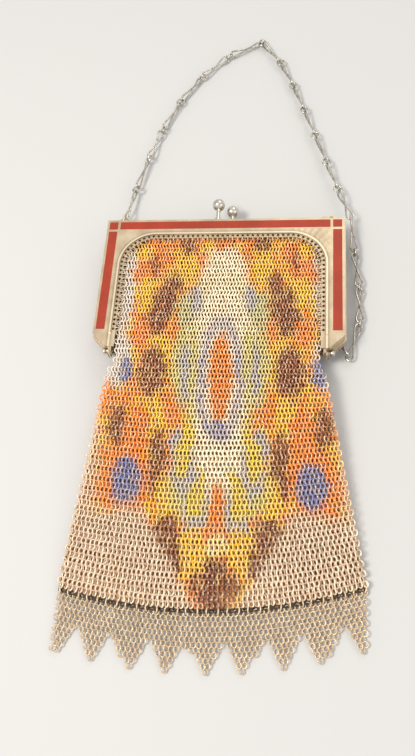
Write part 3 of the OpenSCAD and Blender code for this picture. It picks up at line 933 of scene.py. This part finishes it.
# %% Rings in the frame's holes
EDGE_SHAPE = (1.0, 0.9, 1.0)
THIN_RING = 3.0
EDGE_WIRE = 0.5
count = len(edge)
for name, height in (("front", FACE_Z - SHEET / 2), ("back", SHEET / 2)):
    points = np.c_[edge[:, :2], np.full(count, height)]
    turns = np.c_[np.full(count, math.pi / 2), np.zeros(count), edge[:, 2]]
    piece = mail(
        name + "_edge_rings", points, turns, PLAIN, FINE, EDGE_SHAPE, THIN_RING, EDGE_WIRE)
    if name == "front":
        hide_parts("front_mesh")
    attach(piece, name)

# %% [markdown]
# ## Side seams
#
# A row of rings closes each side between the two panels. They stand on edge, lean in turn to one side
# and the other, and are pressed long to span the gap. A strip with a bump would show as a band from
# the side, where the real bag shows open rings.

# %% Side seams
SIDE_RINGS = 42
SIDE_RING_RISE = 2.2
SIDE_RING_IN = 0.6
SIDE_LEAN = 0.5
SIDE_SHAPE = (1.45, 1.0, 1.0)
SIDE_TOP = FLARE_Y + 4
SIDE_LOW = SEAM_MID_Y + SEAM_SAG + 8
for name, side in (("left", -1), ("right", 1)):
    y = np.linspace(SIDE_TOP, SIDE_LOW, SIDE_RINGS)
    x = bag_mid(y) + side * (bag_half(y) - SIDE_RING_IN)
    z = np.maximum((front_z(y) + back_z(y)) / 2, FLOOR_Z + SIDE_RING_RISE)
    lean = np.where(np.arange(SIDE_RINGS) % 2, SIDE_LEAN, -SIDE_LEAN)
    turns = np.c_[np.zeros(SIDE_RINGS), np.full(SIDE_RINGS, math.pi / 2), lean]
    piece = mail(name + "_side_rings", np.c_[x, y, z], turns, PLAIN, FINE, SIDE_SHAPE)
    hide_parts(name + "_side_seam")
    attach(piece, "back")

# %% [markdown]
# ## Bottom seam
#
# One row of rings closes the bottom. They stand on edge and apart, so a broken dark line shows above
# the fringe. Closing the panels into one another would lose that line, so the row has its own rings
# over a dark solid, painted shade for the gaps between them.

# %% Bottom seam
SEAM_GAPS = 30
SEAM_W = 1.6
SEAM_END = 0.4
SEAM_RING_RISE = 0.4
SEAM_RING_LEAN = 1.05
SEAM_SHAPE = (0.8, 1.15, 1.0)
SEAM_LEFT = BAG_LEAN - BAG_BOTTOM_W / 2 + 1
SEAM_RIGHT = BAG_LEAN + BAG_BOTTOM_W / 2 - 1
count = SEAM_GAPS + 1
x = np.linspace(SEAM_LEFT + SEAM_END, SEAM_RIGHT - SEAM_END, count)
z = np.full(count, FLOOR_Z + MESH_T + SEAM_RING_RISE)
lean = np.where(np.arange(count) % 2, SEAM_RING_LEAN, -SEAM_RING_LEAN)
points = np.c_[x, seam_y(x) - SEAM_W / 2, z]
turns = np.c_[np.zeros(count), lean, np.zeros(count)]
piece = mail("seam_rings", points, turns, PLAIN, FINE, SEAM_SHAPE)
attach(piece, "back")

# %% [markdown]
# ## Fringe
#
# The fringe is a single layer of thinner rings that hangs from the seam, lies nearly flat and is cut
# into nine points. Each point could be a triangle with cut-outs. With the same lattice as the panels,
# a ring is simply left out where it would lie below the edge, and the points end in steps of rings,
# as on the real one.

# %% Edge of the fringe
FRINGE_BAND = 12.5
POINT_LEN = 13.0
FRINGE_POINTS = 9
POINT_IN = 1.5


def fringe_low(x):
    """How far below the seam the fringe reaches at x."""
    pitch = (SEAM_RIGHT - SEAM_LEFT - 2 * POINT_IN) / (FRINGE_POINTS - 1)
    phase = (x - SEAM_LEFT - POINT_IN) / pitch
    off = np.abs(phase - np.round(phase)) * 2
    return FRINGE_BAND + POINT_LEN * (1 - off)


print("points reach", FRINGE_BAND + POINT_LEN, "mm and notches", FRINGE_BAND, "mm below the seam")

# %% Fringe of nine points
FRINGE_ROW = 1.95
FRINGE_ROWS = 15
FRINGE_START = 0.3
FRINGE_RISE = 0.95
FRINGE_LEAN = 22
FRINGE_SHAPE = (0.9, 1.0, 1.0)
FRINGE_WIRE = 0.6
LOW_MARGIN = 0.4
points, turns = [], []
for row in range(FRINGE_ROWS):
    x = mix(SEAM_LEFT, SEAM_RIGHT, (across(row) + 1) / 2)
    down = SEAM_W + FRINGE_START + row * FRINGE_ROW
    keep = down < fringe_low(x) - LOW_MARGIN
    lean = np.full(COLUMNS, lean_of(row, FRINGE_LEAN))
    tilt = np.arctan(SEAM_SLOPE + sag_slope(x))
    z = np.full(COLUMNS, FLOOR_Z + FRINGE_RISE)
    points.append(np.c_[x, seam_y(x) - down, z][keep])
    turns.append(np.c_[np.zeros(COLUMNS), lean, tilt][keep])
points, turns = np.concatenate(points), np.concatenate(turns)
piece = mail("fringe_rings", points, turns, PLAIN, FINE, FRINGE_SHAPE, THIN_RING, FRINGE_WIRE)
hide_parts("mesh_fringe")
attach(piece, "back")

# %% [markdown]
# ## Route of the chain
#
# The handle is a chain of bent wire. It lies along four curves: up the left side to the crown, down
# to the right corner, and the slack down beside the frame and back under it. A simulation of loose
# links could lay it, but not in this one lie. So each curve is drawn by four points and cut into
# equal lengths, one for each link.

# %% Sizes of the chain and its ends
WIRE = 0.9
LINK_W = 4.0
BITE = 2.0
EYE_R = (LINK_W - WIRE) / 2
CHAIN_Z = FLOOR_Z + LINK_W / 2
BACK_RIM = 0.8
LUG_X = FRAME_W / 2 - 6
LUG_Y = TOP_Y + BACK_RIM + 2.1
LUG_Z = 3.0
END_R = 2.8
END_Z = 1.1
END_OUT = math.sqrt(END_R**2 - (LUG_Z - END_Z) ** 2)
END_Y = LUG_Y + END_OUT
END_TURN = math.radians(75)
print("left end ring at", -LUG_X, round(END_Y, 2), "mm")

# %% Bends of the chain
ARCH_RISE = 126.0
HOOK_ANGLE = math.radians(25)


def at(x, y, z=CHAIN_Z):
    return np.array([x, y, z])


def unit(v):
    return v / np.linalg.norm(v)


grip = at(-LUG_X, END_Y + END_R * math.cos(HOOK_ANGLE), END_Z - END_R * math.sin(HOOK_ANGLE))
first_bend = at(5.5 - LUG_X, TOP_Y + 0.33 * ARCH_RISE)
crown = at(13, TOP_Y + ARCH_RISE)
pivot = at(FRAME_W / 2 + BACK_RIM + 2.6, END_Y, END_Z)
right_bend = at(43, TOP_Y + 0.44 * ARCH_RISE)
side_bend = at(pivot[0] + 0.9, TOP_Y - 18)
turn_point = at(FRAME_W / 2 + 2.2, TIP_Y + 0.2)
hook = grip - 0.75 * BITE * unit(first_bend - grip)
over = pivot - 0.325 * BITE * unit(pivot - right_bend)
under = pivot + 0.225 * BITE * unit(pivot - side_bend) - at(0, 0, 0.075 * BITE)
slack_end = at(
    LUG_X - END_OUT * math.sin(END_TURN),
    LUG_Y + END_OUT * math.cos(END_TURN) + EYE_R - BITE / 2,
    END_Z - END_R,
)
print("crown at", crown, "and corner at", pivot.round(2))

# %% Links along the route
ROUTE_STEPS = 41
ROUTES = [
    (7, [hook, first_bend, at(-34, TOP_Y + 0.88 * ARCH_RISE), crown]),
    (7, [crown + at(0.1, -BITE / 2, 0), at(27, TOP_Y + 0.93 * ARCH_RISE), right_bend, over]),
    (4, [under, side_bend, at(FRAME_W / 2 + 13, TOP_Y - 47), turn_point]),
    (4, [turn_point + at(-0.2 * BITE, 0.85 * BITE, 0), at(FRAME_W / 2 - 14, CORNER_Y + 10),
         at(FRAME_W / 2 - 8, CORNER_Y + 36, CHAIN_Z - 0.8), slack_end]),
]


def link_ends(count, corners):
    """Both ends of each link along a curve of four points."""
    t = np.linspace(0, 1, ROUTE_STEPS)[:, None]
    p = (1 - t) ** 3 * corners[0] + 3 * (1 - t) ** 2 * t * corners[1]
    p = p + 3 * (1 - t) * t**2 * corners[2] + t**3 * corners[3]
    run = np.r_[0, np.cumsum(np.linalg.norm(np.diff(p, axis=0), axis=1))]
    cuts = np.linspace(0, run[-1], count + 1)
    ends = np.stack([np.interp(cuts, run, p[:, k]) for k in range(3)], 1)
    return [(ends[k], ends[k + 1]) for k in range(count)]


LINKS = [ends for count, corners in ROUTES for ends in link_ends(count, corners)]
print("links:", len(LINKS), "from", LINKS[0][0].round(1), "to", LINKS[-1][1].round(1))

# %% [markdown]
# ## Joints of the chain
#
# On the real chain each link is a wire eight, and small round rings join the links. A ring stands
# across the two loops that it joins. At its ends, at the corner where the handle turns and at the
# bend below it, the chain hooks loop to loop, with no ring between. One list gives how each link is
# turned at its two ends. Most stand on edge, and some lie flat, as a chain falls on a table.

# %% Turns and joints
RING_R = 1.9
RING_SLACK = 0.06
LEAST_RISE = 0.1
NO_RING = (0, 14, 18, 22)
LINK_TURNS = [
    (-15, 75), (85, 75), (25, 20), (70, 90), (90, 75), (35, 30), (75, 90), (90, 90),
    (90, 90), (90, 90), (90, 90), (90, 90), (90, 85), (75, -12), (-76, -20), (-5, 5),
    (5, -5), (0, 0), (88, 50), (45, 45), (45, 45), (45, 62),
]


def joint(k):
    return (LINKS[k - 1][1] + LINKS[k][0]) / 2


def ring_turn(k):
    """A joining ring stands across the mean of the two loops that it joins."""
    return math.radians((LINK_TURNS[k - 1][1] + LINK_TURNS[k][0]) / 2 + 90)


def ring_size(k):
    """A ring that lies flat has its full size, and one on edge is no higher than the links."""
    return min(RING_R, EYE_R / max(abs(math.sin(ring_turn(k))), LEAST_RISE))


def short_of(k):
    """How far short of a joint's middle a link's wire stops; with no ring it hooks past it."""
    return -BITE / 2 if k in NO_RING else ring_size(k) - WIRE - RING_SLACK


def link_line(k):
    """Where the wire of a link starts and ends."""
    start = LINKS[k][0] if k in NO_RING else joint(k)
    end = LINKS[k][1] if k + 1 in NO_RING else joint(k + 1)
    ahead = unit(end - start)
    return start + ahead * short_of(k), end - ahead * short_of(k + 1)


print("joints with a ring:", len(LINKS) + 1 - len(NO_RING))

# %% [markdown]
# The wire of a link crosses itself in the middle and ends in two drop-shaped loops. It could be bent
# from a curve by hand, 22 times. One formula gives its middle line instead, and each link is then
# turned and twisted by itself. Where the wire crosses, its two strands lie side by side.

# %% Wire eights and small rings
LINK_STEPS = 80
RING_STEPS = 28
DROP = 0.2
STRANDS_APART = 1.06


def sides_of(ahead):
    level = unit(np.cross([0, 0, 1], ahead))
    return level, np.cross(ahead, level)


def wire_eight(start, end, turns):
    half = np.linalg.norm(end - start) / 2
    ahead = unit(end - start)
    level, up = sides_of(ahead)
    t = np.arange(LINK_STEPS) / LINK_STEPS * 2 * math.pi
    x = half * np.cos(t)
    drop = np.sin(2 * t) + DROP * np.sin(4 * t)
    y = EYE_R * drop / drop.max()
    z = STRANDS_APART / 2 * np.sin(t)
    turn = np.radians(mix(turns[0], turns[1], smooth((x / half + 1) / 2)))
    sides = (y * np.cos(turn) - z * np.sin(turn))[:, None] * level
    sides = sides + (y * np.sin(turn) + z * np.cos(turn))[:, None] * up
    return (start + end) / 2 + x[:, None] * ahead + sides


def wire_ring(k):
    before, after = LINKS[k - 1], LINKS[k]
    ahead = unit(unit(before[1] - before[0]) + unit(after[1] - after[0]))
    level, up = sides_of(ahead)
    out = math.cos(ring_turn(k)) * level + math.sin(ring_turn(k)) * up
    t = (np.arange(RING_STEPS) / RING_STEPS * 2 * math.pi)[:, None]
    return joint(k) + ring_size(k) * (np.cos(t) * ahead + np.sin(t) * out)


print("a joining ring is up to", 2 * RING_R + WIRE, "mm across")

# %% [markdown]
# Each link is one object, with the ring that follows it, and takes the place of the solid link of the
# same number. The links up to the corner swing with the handle, and the slack stays with the back
# half of the frame. One object for the whole chain could not do both.

# %% Chain
WIRE_STEPS = 10
HANDLE_LINKS = 14


def closed(first, count):
    """Edges of a closed loop of points."""
    return [(first + k, first + (k + 1) % count) for k in range(count)]


values = {"Wire Radius": WIRE / 2 * MM, "Wire Steps": WIRE_STEPS, "Material": CHAIN_METAL}
for k in range(len(LINKS)):
    number = "%02d" % (k + 1)
    wire, edges = wire_eight(*link_line(k), LINK_TURNS[k]), closed(0, LINK_STEPS)
    if k + 1 not in NO_RING:
        wire, edges = np.r_[wire, wire_ring(k + 1)], edges + closed(LINK_STEPS, RING_STEPS)
    piece = grow("smooth_link_" + number, WIRES, wire, edges, {}, values)
    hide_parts("chain_link_" + number)
    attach(piece, "handle" if k < HANDLE_LINKS else "back")
print("links:", len(LINKS), "and the last has", triangles(piece), "triangles")

# %% [markdown]
# ## Floor and light
#
# The bag lies on a pale plain floor. A large soft light stands over it, with weaker ones behind and to
# the right, and a warm backdrop fills the shadows. A ring of lamps would be brighter all round, but
# metal needs one strong side to show its roundness.

# %% Floor
FLOOR_SIZE = 6
FLOOR_GAP = 0.0001
low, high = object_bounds()
bpy.ops.mesh.primitive_plane_add(size=FLOOR_SIZE, location=(0, 0, low.z - FLOOR_GAP))
floor = bpy.context.object
floor.name = "floor"
ground = new_material("floor", Base_Color=linear(196, 198, 202), Roughness=0.9)[0]
floor.data.materials.append(ground)
floor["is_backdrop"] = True
print("floor at", round(low.z / MM, 2), "mm")

# %% Lights
LIT_POINT = Vector((0, -0.05, 0))
world = bpy.data.worlds.new("studio")
world.use_nodes = True
backdrop = world.node_tree.nodes["Background"]
backdrop.inputs["Color"].default_value = (1.0, 0.96, 0.89, 1.0)
backdrop.inputs["Strength"].default_value = 0.8
bpy.context.scene.world = world


def area_light(name, place, size, power, colour):
    lamp = bpy.data.lights.new(name, "AREA")
    lamp.shape = "DISK"
    lamp.size = size
    lamp.energy = power
    lamp.color = colour
    obj = bpy.data.objects.new(name, lamp)
    obj.location = place
    obj.rotation_mode = "QUATERNION"
    obj.rotation_quaternion = (LIT_POINT - Vector(place)).to_track_quat("-Z", "Y")
    bpy.context.scene.collection.objects.link(obj)


area_light("key", (-0.4, -0.25, 0.8), 0.3, 6.0, (1.0, 0.93, 0.82))
area_light("sheen", (0.3, 0.6, 0.7), 0.5, 1.5, (1.0, 0.95, 0.87))
area_light("fill", (0.7, -0.3, 0.5), 0.6, 1.0, (1.0, 0.97, 0.94))
print("lights:", len(bpy.data.lights))

# %% [markdown]
# ## Camera
#
# The camera stands where the photograph was taken from. It could be moved by eye until the picture
# fits, but its place, its three turns and its lens were worked out from the corners of the frame.

# %% Camera
CAMERA_AT = (0.04069, -0.19954, 0.29993)
CAMERA_TURNS = ((19.31, "Z"), (24.11, "X"), (-16.85, "Z"))
lens = bpy.data.cameras.new("camera")
lens.sensor_width = 36.0
lens.lens = 34.76
lens.clip_start = 0.01
camera = bpy.data.objects.new("camera", lens)
turn = Matrix.Identity(4)
for degrees, axis in CAMERA_TURNS:
    turn = turn @ Matrix.Rotation(math.radians(degrees), 4, axis)
camera.matrix_world = Matrix.Translation(CAMERA_AT) @ turn
bpy.context.scene.collection.objects.link(camera)
bpy.context.scene.camera = camera
bpy.context.scene.view_settings.view_transform = "Standard"
print("camera at", tuple(round(v, 4) for v in camera.location))

# %% [markdown]
#
# The box round what is shown is measured once more, now with the rings and the chain.

# %% Box round what is shown
low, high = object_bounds()
